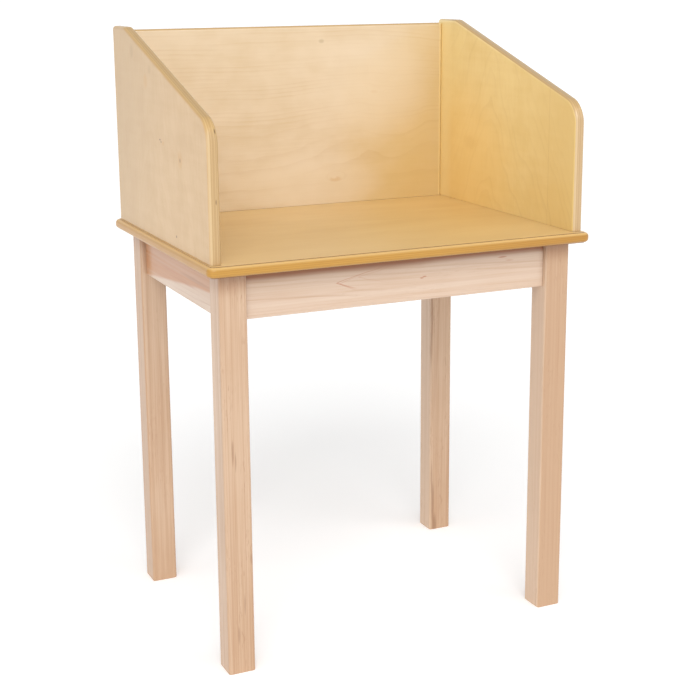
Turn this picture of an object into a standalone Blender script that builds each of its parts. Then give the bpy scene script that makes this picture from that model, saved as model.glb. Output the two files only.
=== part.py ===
"""Study carrel: a four-legged wooden table with a three-sided privacy screen on its top.

The legs, aprons and corner blocks are solid maple. The tabletop and the screen are birch
plywood. Metres, +Z up. The origin is on the floor under the middle of the tabletop, +X is
the sitter's right, and +Y points away from the sitter, towards the back panel.
"""

import math

import bmesh
import bpy
from mathutils import Matrix, Vector

# Overall size
TOP_WIDTH = 0.6096
TOP_DEPTH = 0.4572
WORK_HEIGHT = 0.6096
OVERALL_HEIGHT = 0.9144

# Gap that touching pieces keep
GAP = 0.0003

# Tabletop
TOP_THICKNESS = 0.016
TOP_CORNER_RADIUS = 0.012
TOP_EDGE_RADIUS = 0.006

# Legs
LEG_WIDTH = 0.041
LEG_ARRIS_RADIUS = 0.004
LEG_FOOT_CHAMFER = 0.0012
LEG_SIDE_INSET = 0.0225
LEG_END_INSET = 0.025

# Aprons, set back from the outer faces of the legs
APRON_HEIGHT = 0.0675
APRON_THICKNESS = 0.019
APRON_SETBACK = 0.009
APRON_ARRIS = 0.0012

# Corner blocks, across the inside corners of the leg frame
BLOCK_HEIGHT = 0.050
BLOCK_THICKNESS = 0.020
BLOCK_ARRIS = 0.0008

# Screen panels
PANEL_THICKNESS = 0.016
PANEL_EDGE_RADIUS = 0.005
PANEL_SIDE_INSET = 0.008
PANEL_FRONT_INSET = 0.0142
PANEL_REAR_INSET = 0.0092
PANEL_FLAT_LENGTH = 0.0614
PANEL_FRONT_HEIGHT = 0.190
PANEL_FRONT_RADIUS = 0.038
PANEL_SLOPE_RADIUS = 0.030
PANEL_REAR_RADIUS = 0.006
BACK_DROP = 0.0062

# Hanger bolts (5/16 inch), nuts and washers
BOLT_RADIUS = 0.00397
BOLT_LENGTH = 0.0635
BOLT_POINT = 0.008
BOLT_BEYOND_NUT = 0.0045
THREAD_PITCH = 0.00141
THREAD_DEPTH = 0.0004
WASHER_RADIUS = 0.0095
WASHER_THICKNESS = 0.0016
NUT_ACROSS_FLATS = 0.0127
NUT_HEIGHT = 0.00675
NUT_CHAMFER = 0.0008

# Screws (4.2 mm) and dowels
SCREW_RADIUS = 0.0021
SCREW_POINT = 0.005
SCREW_HEAD_RADIUS = 0.004
PAN_HEAD_HEIGHT = 0.0026
RECESS_LENGTH = 0.0042
RECESS_WIDTH = 0.0010
RECESS_DEPTH = 0.0015
BLOCK_SCREW_LENGTH = 0.024
BLOCK_SCREW_OFFSET = 0.066
BLOCK_SCREW_SEAT = 0.037
BLOCK_SCREW_RAISE = 0.008
TOP_SCREW_LENGTH = 0.038
TOP_SCREW_SEAT_DEPTH = 0.025
TOP_SCREW_SIDESTEP = 0.012
PANEL_SCREW_LENGTH = 0.045
SIDE_PANEL_SCREWS_Y = (-0.150, 0.0, 0.140)
BACK_PANEL_SCREWS_X = (-0.190, 0.0, 0.190)
DOWEL_RADIUS = 0.003
DOWEL_LENGTH = 0.024
DOWEL_IN_SIDE = 0.007
DOWEL_HEIGHTS = (0.050, 0.150, 0.250)

# Round work
SCREW_SIDES = 12
BOLT_SIDES = 16
CORNER_SEGMENTS = 6
EDGE_SEGMENTS = 4

# Derived positions
HALF_WIDTH = TOP_WIDTH / 2
HALF_DEPTH = TOP_DEPTH / 2
TOP_UNDERSIDE = WORK_HEIGHT - TOP_THICKNESS
FRAME_TOP = TOP_UNDERSIDE - GAP
LEG_OUTER_X = HALF_WIDTH - LEG_SIDE_INSET
LEG_OUTER_Y = HALF_DEPTH - LEG_END_INSET
APRON_INNER = APRON_SETBACK + APRON_THICKNESS
SCREEN_FOOT = WORK_HEIGHT + GAP
PANEL_OUTER_X = HALF_WIDTH - PANEL_SIDE_INSET
PANEL_INNER_X = PANEL_OUTER_X - PANEL_THICKNESS
PANEL_FRONT_Y = -HALF_DEPTH + PANEL_FRONT_INSET
PANEL_REAR_Y = HALF_DEPTH - PANEL_REAR_INSET
BACK_MIDDLE_Y = PANEL_REAR_Y - PANEL_THICKNESS / 2
LEG_INNER_ARRIS = (LEG_WIDTH - LEG_ARRIS_RADIUS) * math.sqrt(2) + LEG_ARRIS_RADIUS
BLOCK_NEAR = LEG_INNER_ARRIS + GAP
BLOCK_FAR = BLOCK_NEAR + BLOCK_THICKNESS
BLOCK_MIDDLE = (BLOCK_NEAR + BLOCK_FAR) / 2
BLOCK_MIDDLE_Z = FRAME_TOP - BLOCK_HEIGHT / 2

# Finishes: colour, roughness, metallic
LEG_MAPLE = ((0.75, 0.56, 0.39, 1), 0.45, 0.0)
APRON_MAPLE = ((0.72, 0.53, 0.37, 1), 0.45, 0.0)
BLOCK_MAPLE = ((0.66, 0.47, 0.31, 1), 0.6, 0.0)
SCREEN_BIRCH = ((0.80, 0.60, 0.35, 1), 0.35, 0.0)
TOP_BIRCH = ((0.71, 0.45, 0.21, 1), 0.25, 0.0)
DOWEL_BEECH = ((0.62, 0.42, 0.25, 1), 0.6, 0.0)
ZINC_STEEL = ((0.60, 0.61, 0.62, 1), 0.35, 1.0)


def new_collection(name):
    collection = bpy.data.collections.new(name)
    bpy.context.scene.collection.children.link(collection)
    return collection


def mesh_from(bm, name):
    """Turn an edit mesh into a mesh whose round stretches are shaded smooth."""
    bmesh.ops.recalc_face_normals(bm, faces=bm.faces)
    mesh = bpy.data.meshes.new(name)
    bm.to_mesh(mesh)
    bm.free()
    smooth(mesh)
    return mesh


def smooth(mesh):
    mesh.shade_smooth()
    mesh.set_sharp_from_angle(angle=math.radians(30))


def add_part(name, mesh, finish, matrix):
    """Put a named piece with its own material in the carrel's collection."""
    colour, roughness, metallic = finish
    material = bpy.data.materials.new(name + "_finish")
    material.use_nodes = True
    shader = material.node_tree.nodes["Principled BSDF"]
    shader.inputs["Base Color"].default_value = colour
    shader.inputs["Roughness"].default_value = roughness
    shader.inputs["Metallic"].default_value = metallic
    if not mesh.materials:
        mesh.materials.append(None)
    part = bpy.data.objects.new(name, mesh)
    part.material_slots[0].link = "OBJECT"
    part.material_slots[0].material = material
    parts.objects.link(part)
    part.parent = carrel
    part.matrix_world = matrix
    return part


def add_cutter(name, mesh, matrix):
    cutter = bpy.data.objects.new(name, mesh)
    cutters.objects.link(cutter)
    cutter.matrix_world = matrix
    cutter.display_type = "WIRE"
    cutter.hide_render = True
    return cutter


def cut(part, cutter, operation="DIFFERENCE"):
    boolean = part.modifiers.new("cut_" + cutter.name, "BOOLEAN")
    boolean.operation = operation
    boolean.solver = "EXACT"
    boolean.object = cutter


def applied(part):
    """Return a piece's mesh with its modifiers applied, and remove the piece and its cutters."""
    depsgraph = bpy.context.evaluated_depsgraph_get()
    mesh = bpy.data.meshes.new_from_object(part.evaluated_get(depsgraph))
    used = [m.object for m in part.modifiers if m.type == "BOOLEAN"]
    for spent in [part] + used:
        bpy.data.objects.remove(spent)
    smooth(mesh)
    return mesh


def box(size_x, size_y, size_z):
    """A box centred on the origin."""
    bm = bmesh.new()
    bmesh.ops.create_cube(bm, size=1)
    bmesh.ops.scale(bm, vec=(size_x, size_y, size_z), verts=bm.verts)
    return bm


def board(size_x, size_y, size_z):
    """A box that stands on its local z = 0 plane."""
    bm = box(size_x, size_y, size_z)
    bmesh.ops.translate(bm, vec=(0, 0, size_z / 2), verts=bm.verts)
    return bm


def round_edges(bm, wanted, width, segments):
    """Bevel the edges that pass the wanted test with a circular profile."""
    edges = [edge for edge in bm.edges if wanted(edge)]
    bmesh.ops.bevel(bm, geom=edges, offset=width, offset_type="OFFSET", segments=segments,
                    profile=0.5, affect="EDGES")


def runs_along(edge, axis):
    direction = edge.verts[1].co - edge.verts[0].co
    return abs(direction[axis]) > 0.999 * direction.length


def middle(edge):
    return (edge.verts[0].co + edge.verts[1].co) / 2


def borders(edge, axis):
    """True for an edge between a face square to the axis and one along the axis."""
    turns = sorted(abs(face.normal[axis]) for face in edge.link_faces)
    return turns[0] < 0.01 and turns[1] > 0.99


def saw(bm, point, normal):
    """Cut away what lies on the normal's side of a plane, and close the cut."""
    everything = bm.verts[:] + bm.edges[:] + bm.faces[:]
    result = bmesh.ops.bisect_plane(bm, geom=everything, plane_co=point, plane_no=normal,
                                    clear_outer=True)
    rim = [item for item in result["geom_cut"] if isinstance(item, bmesh.types.BMEdge)]
    bmesh.ops.contextual_create(bm, geom=rim)
    bmesh.ops.recalc_face_normals(bm, faces=bm.faces)


def turned(name, profile, sides, closed=False):
    """A solid of revolution about local Z. The profile holds (radius, height) points, from
    the top, down the outer side, to the bottom."""
    mesh = bpy.data.meshes.new(name)
    steps = [(i, i + 1) for i in range(len(profile) - 1)]
    if closed:
        steps.append((len(profile) - 1, 0))
    mesh.from_pydata([(radius, 0, height) for radius, height in profile], steps, [])
    blank = bpy.data.objects.new(name, mesh)
    bpy.context.scene.collection.objects.link(blank)
    screw = blank.modifiers.new("turn", "SCREW")
    screw.axis = "Z"
    screw.steps = sides
    screw.render_steps = sides
    screw.use_merge_vertices = True
    screw.merge_threshold = 0.00001
    return applied(blank)


def along(position, direction):
    """Place a piece at a point with its local -Z, the way it is driven, along a direction."""
    turn = (-Vector(direction)).to_track_quat("Z", "Y")
    return Matrix.Translation(position) @ turn.to_matrix().to_4x4()


def at(x, y, z):
    return Matrix.Translation((x, y, z))


# Fasteners. Each is modelled once with its seat at local z = 0 and its point towards -Z,
# and each has a cutter of the same shape, one gap larger, with an open way to its head.


def with_cross_recess(name, blank_mesh, head_top):
    blank = bpy.data.objects.new(name, blank_mesh)
    bpy.context.scene.collection.objects.link(blank)
    for number, (length, width) in enumerate(
            ((RECESS_LENGTH, RECESS_WIDTH), (RECESS_WIDTH, RECESS_LENGTH))):
        blade = mesh_from(box(length, width, 2 * RECESS_DEPTH), "recess_blade")
        cut(blank, add_cutter(f"recess_{number}", blade, at(0, 0, head_top)))
    return applied(blank)


def pan_head_screw(name, length):
    profile = [
        (0, PAN_HEAD_HEIGHT),
        (SCREW_HEAD_RADIUS * 0.70, PAN_HEAD_HEIGHT),
        (SCREW_HEAD_RADIUS * 0.93, PAN_HEAD_HEIGHT * 0.70),
        (SCREW_HEAD_RADIUS, PAN_HEAD_HEIGHT * 0.30),
        (SCREW_HEAD_RADIUS, 0),
        (SCREW_RADIUS, 0),
        (SCREW_RADIUS, SCREW_POINT - length),
        (0, -length),
    ]
    return with_cross_recess(name, turned(name, profile, SCREW_SIDES), PAN_HEAD_HEIGHT)


def pan_head_hole(name, length, pocket):
    head = SCREW_HEAD_RADIUS + 2 * GAP
    shank = SCREW_RADIUS + GAP
    profile = [(0, pocket), (head, pocket), (head, -GAP), (shank, -GAP),
               (shank, SCREW_POINT - length - GAP), (0, -length - GAP)]
    return turned(name, profile, SCREW_SIDES)


def flat_head_screw(name, length):
    rim = 0.0004
    cone_foot = -rim - (SCREW_HEAD_RADIUS - SCREW_RADIUS)
    profile = [(0, 0), (SCREW_HEAD_RADIUS, 0), (SCREW_HEAD_RADIUS, -rim),
               (SCREW_RADIUS, cone_foot), (SCREW_RADIUS, SCREW_POINT - length), (0, -length)]
    return with_cross_recess(name, turned(name, profile, SCREW_SIDES), 0)


def flat_head_hole(name, length):
    rim = 0.0004 + GAP
    head = SCREW_HEAD_RADIUS + GAP
    shank = SCREW_RADIUS + GAP
    above = 0.003
    profile = [(0, above), (head, above), (head, -rim), (shank, -rim - (head - shank)),
               (shank, SCREW_POINT - length - GAP), (0, -length - GAP)]
    return turned(name, profile, SCREW_SIDES)


def hanger_bolt(name, plain_end):
    """A pointed wood end and a machine end, whose stretch beyond the nut shows its thread."""
    crest = BOLT_RADIUS
    root = BOLT_RADIUS - THREAD_DEPTH
    top = plain_end + BOLT_BEYOND_NUT
    profile = [(0, top), (root, top)]
    turns = int(BOLT_BEYOND_NUT / THREAD_PITCH)
    for turn in range(turns):
        height = top - turn * THREAD_PITCH
        profile.append((crest, height - THREAD_PITCH / 2))
        profile.append((root, height - THREAD_PITCH))
    profile.append((crest, plain_end))
    profile.append((crest, top - BOLT_LENGTH + BOLT_POINT))
    profile.append((0, top - BOLT_LENGTH))
    return turned(name, profile, BOLT_SIDES)


def bolt_hole(name, above, below):
    radius = BOLT_RADIUS + GAP
    profile = [(0, above), (radius, above), (radius, BOLT_POINT - below - GAP),
               (0, -below - GAP)]
    return turned(name, profile, BOLT_SIDES)


def ring(name, inner, outer, thickness):
    profile = [(inner, thickness), (outer, thickness), (outer, 0), (inner, 0)]
    return turned(name, profile, BOLT_SIDES, closed=True)


def hexagon_nut(name):
    """A hexagon prism with turned chamfers and a plain bore, standing on z = 0."""
    corner = NUT_ACROSS_FLATS / math.sqrt(3)
    bm = bmesh.new()
    bmesh.ops.create_cone(bm, cap_ends=True, segments=6, radius1=corner, radius2=corner,
                          depth=NUT_HEIGHT)
    bmesh.ops.translate(bm, vec=(0, 0, NUT_HEIGHT / 2), verts=bm.verts)
    nut = bpy.data.objects.new(name, mesh_from(bm, name))
    bpy.context.scene.collection.objects.link(nut)
    flat = NUT_ACROSS_FLATS / 2
    outside = corner + NUT_CHAMFER
    chamfer = [(0, NUT_HEIGHT), (flat, NUT_HEIGHT), (outside, NUT_HEIGHT - NUT_CHAMFER),
               (outside, NUT_CHAMFER), (flat, 0), (0, 0)]
    cut(nut, add_cutter("nut_chamfer", turned("nut_chamfer", chamfer, 24), at(0, 0, 0)),
        "INTERSECT")
    bore = bolt_hole("nut_bore", NUT_HEIGHT * 2, NUT_HEIGHT * 4)
    cut(nut, add_cutter("nut_bore", bore, at(0, 0, 0)))
    return applied(nut)


# Wooden pieces


def tabletop_mesh():
    bm = board(TOP_WIDTH, TOP_DEPTH, TOP_THICKNESS)
    round_edges(bm, lambda e: runs_along(e, 2), TOP_CORNER_RADIUS, CORNER_SEGMENTS)
    round_edges(bm, lambda e: borders(e, 2), TOP_EDGE_RADIUS, EDGE_SEGMENTS)
    return mesh_from(bm, "tabletop")


def side_panel_mesh():
    """A board with a sloping top. Local y = 0 is its front edge."""
    length = PANEL_REAR_Y - PANEL_FRONT_Y
    height = OVERALL_HEIGHT - SCREEN_FOOT
    front_height = PANEL_FRONT_HEIGHT
    slope_length = length - PANEL_FLAT_LENGTH
    slope_rise = height - front_height
    slope_angle = math.atan2(slope_rise, slope_length)
    bm = board(PANEL_THICKNESS, length, height)
    bmesh.ops.translate(bm, vec=(0, length / 2, 0), verts=bm.verts)
    saw(bm, (0, 0, front_height), (0, -slope_rise, slope_length))

    # Each corner's place along the panel, its radius and how far the outline turns there
    corners = (
        (0, PANEL_FRONT_RADIUS, math.pi / 2 - slope_angle, 10),
        (slope_length, PANEL_SLOPE_RADIUS, slope_angle, 3),
        (length, PANEL_REAR_RADIUS, math.pi / 2, 4),
    )
    for place, radius, turn, segments in corners:
        round_edges(
            bm,
            lambda e: runs_along(e, 0) and abs(middle(e).y - place) < 1e-5 and middle(e).z > 0.01,
            radius * math.tan(turn / 2),
            segments,
        )
    round_edges(bm, lambda e: borders(e, 0) and middle(e).z > 0.001, PANEL_EDGE_RADIUS,
                EDGE_SEGMENTS)
    return mesh_from(bm, "side_panel")


def back_panel_mesh():
    width = 2 * (PANEL_INNER_X - GAP)
    height = OVERALL_HEIGHT - BACK_DROP - SCREEN_FOOT
    bm = board(width, PANEL_THICKNESS, height)
    round_edges(bm, lambda e: borders(e, 1) and middle(e).z > 0.001, PANEL_EDGE_RADIUS,
                EDGE_SEGMENTS)
    return mesh_from(bm, "back_panel")


def leg_mesh():
    bm = board(LEG_WIDTH, LEG_WIDTH, FRAME_TOP)
    round_edges(bm, lambda e: runs_along(e, 2), LEG_ARRIS_RADIUS, EDGE_SEGMENTS)
    round_edges(bm, lambda e: borders(e, 2) and middle(e).z < 0.001, LEG_FOOT_CHAMFER, 1)
    return mesh_from(bm, "leg")


def apron_mesh(length):
    bm = board(length, APRON_THICKNESS, APRON_HEIGHT)
    round_edges(bm, lambda e: runs_along(e, 0), APRON_ARRIS, 2)
    return mesh_from(bm, "apron")


def corner_block_mesh():
    """A block whose ends lie on the two aprons. Local x runs from the leg's outer corner
    into the frame, and local z = 0 is mid height."""
    bm = box(BLOCK_THICKNESS, 0.15, BLOCK_HEIGHT)
    bmesh.ops.translate(bm, vec=(BLOCK_MIDDLE, 0, 0), verts=bm.verts)
    where_aprons_meet = (APRON_INNER + GAP) * math.sqrt(2)
    for side in (-1, 1):
        saw(bm, (where_aprons_meet, 0, 0), (-1, side, 0))
    round_edges(bm, lambda e: True, BLOCK_ARRIS, 1)
    return mesh_from(bm, "corner_block")


# The model

for old in list(bpy.data.objects):
    bpy.data.objects.remove(old)

parts = new_collection("study_carrel")
cutters = new_collection("cutters")
carrel = bpy.data.objects.new("carrel_origin", None)
parts.objects.link(carrel)

tabletop = add_part("tabletop", tabletop_mesh(), TOP_BIRCH, at(0, 0, TOP_UNDERSIDE))
back_panel = add_part("back_panel", back_panel_mesh(), SCREEN_BIRCH,
                      at(0, BACK_MIDDLE_Y, SCREEN_FOOT))

pan_screw_block = pan_head_screw("block_screw", BLOCK_SCREW_LENGTH)
pan_screw_top = pan_head_screw("top_screw", TOP_SCREW_LENGTH)
flat_screw = flat_head_screw("panel_screw", PANEL_SCREW_LENGTH)
washer = ring("washer", BOLT_RADIUS + GAP, WASHER_RADIUS, WASHER_THICKNESS)
nut = hexagon_nut("nut")
nut_outer_face = GAP + WASHER_THICKNESS + GAP + NUT_HEIGHT
bolt = hanger_bolt("hanger_bolt", nut_outer_face)
bolt_depth = BOLT_LENGTH - BOLT_BEYOND_NUT - nut_outer_face
block_screw_hole = pan_head_hole("block_screw_hole", BLOCK_SCREW_LENGTH, 0.015)
top_screw_hole = pan_head_hole("top_screw_hole", TOP_SCREW_LENGTH, 0.030)
panel_screw_hole = flat_head_hole("panel_screw_hole", PANEL_SCREW_LENGTH)
hanger_bolt_hole = bolt_hole("hanger_bolt_hole", 0.005, bolt_depth)

dowel = turned("dowel", [(0, DOWEL_LENGTH), (DOWEL_RADIUS * 0.8, DOWEL_LENGTH),
                         (DOWEL_RADIUS, DOWEL_LENGTH - 0.001), (DOWEL_RADIUS, 0.001),
                         (DOWEL_RADIUS * 0.8, 0), (0, 0)], SCREW_SIDES)
dowel_hole = turned("dowel_hole", [(0, DOWEL_LENGTH + GAP),
                                   (DOWEL_RADIUS + GAP, DOWEL_LENGTH + GAP),
                                   (DOWEL_RADIUS + GAP, -GAP), (0, -GAP)], SCREW_SIDES)


def drive(name, mesh, hole, hosts, position, direction):
    """Add a fastener and bore its hole in the boards that it passes through."""
    place = along(position, direction)
    add_part(name, mesh, ZINC_STEEL, place)
    hole_cutter = add_cutter("hole_" + name, hole, place)
    for host in hosts:
        cut(host, hole_cutter)


# Aprons
aprons = {}
for side, sign in (("front", -1), ("rear", 1)):
    length = 2 * (LEG_OUTER_X - LEG_WIDTH - GAP)
    y = sign * (LEG_OUTER_Y - APRON_SETBACK - APRON_THICKNESS / 2)
    aprons[side] = add_part(side + "_apron", apron_mesh(length), APRON_MAPLE,
                            at(0, y, FRAME_TOP - APRON_HEIGHT))
for side, sign in (("left", -1), ("right", 1)):
    length = 2 * (LEG_OUTER_Y - LEG_WIDTH - GAP)
    x = sign * (LEG_OUTER_X - APRON_SETBACK - APRON_THICKNESS / 2)
    turn = Matrix.Rotation(math.pi / 2, 4, "Z")
    aprons[side] = add_part(side + "_apron", apron_mesh(length), APRON_MAPLE,
                            at(x, 0, FRAME_TOP - APRON_HEIGHT) @ turn)

# Legs, corner blocks and their fasteners, one set in each corner
for end, sign_y in (("front", -1), ("rear", 1)):
    for side, sign_x in (("left", -1), ("right", 1)):
        corner = f"{end}_{side}"
        leg_corner = Vector((sign_x * LEG_OUTER_X, sign_y * LEG_OUTER_Y, 0))
        inward_x = Vector((-sign_x, 0, 0))
        inward_y = Vector((0, -sign_y, 0))
        inward = (inward_x + inward_y).normalized()
        across = (inward_x - inward_y).normalized()

        leg_centre = leg_corner + (inward_x + inward_y) * LEG_WIDTH / 2
        leg = add_part(corner + "_leg", leg_mesh(), LEG_MAPLE, at(*leg_centre))

        diagonal = Matrix.Rotation(math.atan2(inward.y, inward.x), 4, "Z")
        block_place = at(*leg_corner) @ at(0, 0, BLOCK_MIDDLE_Z) @ diagonal
        block = add_part("corner_block_" + corner, corner_block_mesh(), BLOCK_MAPLE, block_place)

        bolt_seat = leg_corner + inward * BLOCK_FAR + Vector((0, 0, BLOCK_MIDDLE_Z))
        drive("hanger_bolt_" + corner, bolt, hanger_bolt_hole, (leg, block), bolt_seat, -inward)
        add_part("washer_" + corner, washer, ZINC_STEEL,
                 along(bolt_seat + inward * GAP, -inward))
        add_part("nut_" + corner, nut, ZINC_STEEL,
                 along(bolt_seat + inward * (2 * GAP + WASHER_THICKNESS), -inward))

        screw_z = Vector((0, 0, BLOCK_MIDDLE_Z + BLOCK_SCREW_RAISE))
        into_end = leg_corner + inward_x * BLOCK_SCREW_OFFSET + inward_y * BLOCK_SCREW_SEAT
        into_side = leg_corner + inward_y * BLOCK_SCREW_OFFSET + inward_x * BLOCK_SCREW_SEAT
        drive(f"block_screw_{corner}_{end}", pan_screw_block, block_screw_hole,
              (block, aprons[end]), into_end + screw_z, -inward_y)
        drive(f"block_screw_{corner}_{side}", pan_screw_block, block_screw_hole,
              (block, aprons[side]), into_side + screw_z, -inward_x)

        seat_z = FRAME_TOP - TOP_SCREW_SEAT_DEPTH
        top_seat = (leg_corner + inward * BLOCK_MIDDLE + across * TOP_SCREW_SIDESTEP
                    + Vector((0, 0, seat_z)))
        drive("top_screw_" + corner, pan_screw_top, top_screw_hole, (block, tabletop), top_seat,
              (0, 0, 1))

# Side panels, with their screws and the dowels that join them to the back panel
panel_mid_x = (PANEL_OUTER_X + PANEL_INNER_X) / 2
flush_z = TOP_UNDERSIDE + GAP
for side, sign_x in (("left", -1), ("right", 1)):
    panel = add_part(side + "_side_panel", side_panel_mesh(), SCREEN_BIRCH,
                     at(sign_x * panel_mid_x, PANEL_FRONT_Y, SCREEN_FOOT))
    for number, y in enumerate(SIDE_PANEL_SCREWS_Y, start=1):
        drive(f"panel_screw_{side}_{number}", flat_screw, panel_screw_hole, (tabletop, panel),
              (sign_x * panel_mid_x, y, flush_z), (0, 0, 1))
    for number, height in enumerate(DOWEL_HEIGHTS, start=1):
        outer_end = (sign_x * (PANEL_INNER_X + DOWEL_IN_SIDE), BACK_MIDDLE_Y,
                     WORK_HEIGHT + height)
        place = along(outer_end, (sign_x, 0, 0))
        add_part(f"dowel_{side}_{number}", dowel, DOWEL_BEECH, place)
        socket = add_cutter(f"hole_dowel_{side}_{number}", dowel_hole, place)
        cut(panel, socket)
        cut(back_panel, socket)

for number, x in enumerate(BACK_PANEL_SCREWS_X, start=1):
    drive(f"panel_screw_back_{number}", flat_screw, panel_screw_hole, (tabletop, back_panel),
          (x, BACK_MIDDLE_Y, flush_z), (0, 0, 1))
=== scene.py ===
"""The study carrel as it looks: finely rounded boards, wood and metal finishes, light and camera."""

import math

import bmesh
import bpy
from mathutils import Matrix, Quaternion, Vector


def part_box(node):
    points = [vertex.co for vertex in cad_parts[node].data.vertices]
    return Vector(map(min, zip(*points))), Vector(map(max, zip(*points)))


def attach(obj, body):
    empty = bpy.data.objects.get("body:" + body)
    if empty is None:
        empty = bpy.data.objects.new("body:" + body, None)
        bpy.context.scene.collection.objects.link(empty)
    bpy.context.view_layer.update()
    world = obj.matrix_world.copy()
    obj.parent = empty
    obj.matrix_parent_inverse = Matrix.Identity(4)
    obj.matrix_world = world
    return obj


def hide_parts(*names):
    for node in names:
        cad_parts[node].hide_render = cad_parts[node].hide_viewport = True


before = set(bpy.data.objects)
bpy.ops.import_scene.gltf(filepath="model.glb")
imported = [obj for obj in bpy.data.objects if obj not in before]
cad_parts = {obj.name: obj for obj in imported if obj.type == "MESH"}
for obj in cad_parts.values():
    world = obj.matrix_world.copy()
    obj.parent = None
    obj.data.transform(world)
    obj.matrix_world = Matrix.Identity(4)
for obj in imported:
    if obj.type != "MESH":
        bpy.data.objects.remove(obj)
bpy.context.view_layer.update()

# Shapes of the boards, in metres. Their sizes come from the CAD parts.
TOP_CORNER_RADIUS = 0.012
TOP_EDGE_RADIUS = 0.006
SHEET_THICKNESS = 0.0008
SHEET_LEDGE = 0.0004
PANEL_EDGE_RADIUS = 0.005
PANEL_FLAT_LENGTH = 0.0614
PANEL_FRONT_HEIGHT = 0.190
PANEL_FRONT_RADIUS = 0.038
PANEL_SLOPE_RADIUS = 0.030
PANEL_REAR_RADIUS = 0.006
SCREEN_PLIES = 11
TOP_PLY = 0.00145
LEG_ARRIS_RADIUS = 0.004
LEG_FOOT_CHAMFER = 0.0012
APRON_ARRIS_RADIUS = 0.0012

# How much closer than its CAD solid the back panel fits between the side panels
SNUG = Vector((0.0002, 0, 0))

# Where the faces that carry marks lie, through the board from its middle, and how deep a mark is
SCREEN_FACE = 0.0080
LEG_FRONT = -0.0206
APRON_FRONT = 0.00953
APRON_LEFT = -0.0095
MARK_DEPTH = 0.004

# Where the rounding into a leg's outer faces starts and ends, from its middle
LEG_FACE = (0.0175, 0.0205)

# Where a side panel's upright front edge starts and ends, from its middle towards the front
UPRIGHT_EDGE = (0.2085, 0.2165)

# Clearance round each fastener, and the parts of a screw that its hole follows
GAP = 0.0003
SCREW_RADIUS = 0.0021
SCREW_HEAD_RADIUS = 0.004
SCREW_HEAD_RIM = 0.0004
SCREW_POINT = 0.005
BOLT_RADIUS = 0.00397
BOLT_POINT = 0.008

# Studio: brightness of the surroundings, and lamps as (name, direction, spread, strength)
WALL_BRIGHTNESS = 1.0
CEILING_BRIGHTNESS = 0.25
CEILING_HEIGHT = 0.85
FLOOR_GLOW = 0.26
FLOOR_HALF_WIDTH = 400
LAMPS = (
    ("key", (-0.35, -0.80, 0.72), 40, 1.44),
    ("right_fill", (0.45, -0.75, 0.72), 50, 0.55),
    ("left_fill", (-0.85, -0.15, 0.45), 50, 0.45),
)

# Camera
CAMERA_PLACE = Vector((-0.919, -2.0005, 0.9925))
CAMERA_YAW = math.radians(24.87)
CAMERA_PITCH = math.radians(-13.20)
CAMERA_ROLL = math.radians(-0.37)
CAMERA_LENS = 73.49
CAMERA_SENSOR = 36
CAMERA_SHIFT_Y = -0.06

X_AXIS = Vector((1, 0, 0))
Y_AXIS = Vector((0, 1, 0))
Z_AXIS = Vector((0, 0, 1))


# Boards


def block(low, high):
    """A box between two corners."""
    bm = bmesh.new()
    bmesh.ops.create_cube(bm, size=1)
    bmesh.ops.scale(bm, vec=high - low, verts=bm.verts)
    bmesh.ops.translate(bm, vec=(low + high) / 2, verts=bm.verts)
    return bm


def round_edges(bm, wanted, width, segments):
    """Bevel the edges that pass the wanted test with a circular profile."""
    edges = [edge for edge in bm.edges if wanted(edge)]
    bmesh.ops.bevel(bm, geom=edges, offset=width, offset_type="OFFSET", segments=segments,
                    profile=0.5, affect="EDGES")


def runs_along(edge, axis):
    direction = edge.verts[1].co - edge.verts[0].co
    return abs(direction[axis]) > 0.999 * direction.length


def middle(edge):
    return (edge.verts[0].co + edge.verts[1].co) / 2


def borders(edge, axis):
    """True for an edge between a face square to the axis and one along the axis."""
    turns = sorted(abs(face.normal[axis]) for face in edge.link_faces)
    return turns[0] < 0.01 and turns[1] > 0.99


def saw(bm, point, normal):
    """Cut away what lies on the normal's side of a plane, and close the cut."""
    everything = bm.verts[:] + bm.edges[:] + bm.faces[:]
    result = bmesh.ops.bisect_plane(bm, geom=everything, plane_co=point, plane_no=normal,
                                    clear_outer=True)
    rim = [item for item in result["geom_cut"] if isinstance(item, bmesh.types.BMEdge)]
    bmesh.ops.contextual_create(bm, geom=rim)
    bmesh.ops.recalc_face_normals(bm, faces=bm.faces)


def raise_sheet(bm, height, ledge, thickness):
    """Let the flat face at a height stand out, inside a narrow ledge, as a glued sheet does."""
    sheet = [face for face in bm.faces
             if abs(face.normal.z) > 0.99 and abs(face.calc_center_median().z - height) < 1e-6]
    bmesh.ops.inset_region(bm, faces=sheet, thickness=ledge, use_even_offset=True)
    out = Vector((0, 0, math.copysign(thickness, sheet[0].normal.z)))
    raised = bmesh.ops.extrude_face_region(bm, geom=sheet)
    verts = [item for item in raised["geom"] if isinstance(item, bmesh.types.BMVert)]
    bmesh.ops.translate(bm, vec=out, verts=verts)
    bmesh.ops.delete(bm, geom=sheet, context="FACES_ONLY")


def tabletop_shape(low, high):
    """A plywood board with rounded edges between two sheets that end in small square steps."""
    step = Vector((0, 0, SHEET_THICKNESS))
    bm = block(low + step, high - step)
    round_edges(bm, lambda e: runs_along(e, 2), TOP_CORNER_RADIUS, 14)
    round_edges(bm, lambda e: borders(e, 2), TOP_EDGE_RADIUS - SHEET_LEDGE, 10)
    raise_sheet(bm, high.z - SHEET_THICKNESS, SHEET_LEDGE, SHEET_THICKNESS)
    raise_sheet(bm, low.z + SHEET_THICKNESS, SHEET_LEDGE, SHEET_THICKNESS)
    return bm


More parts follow.
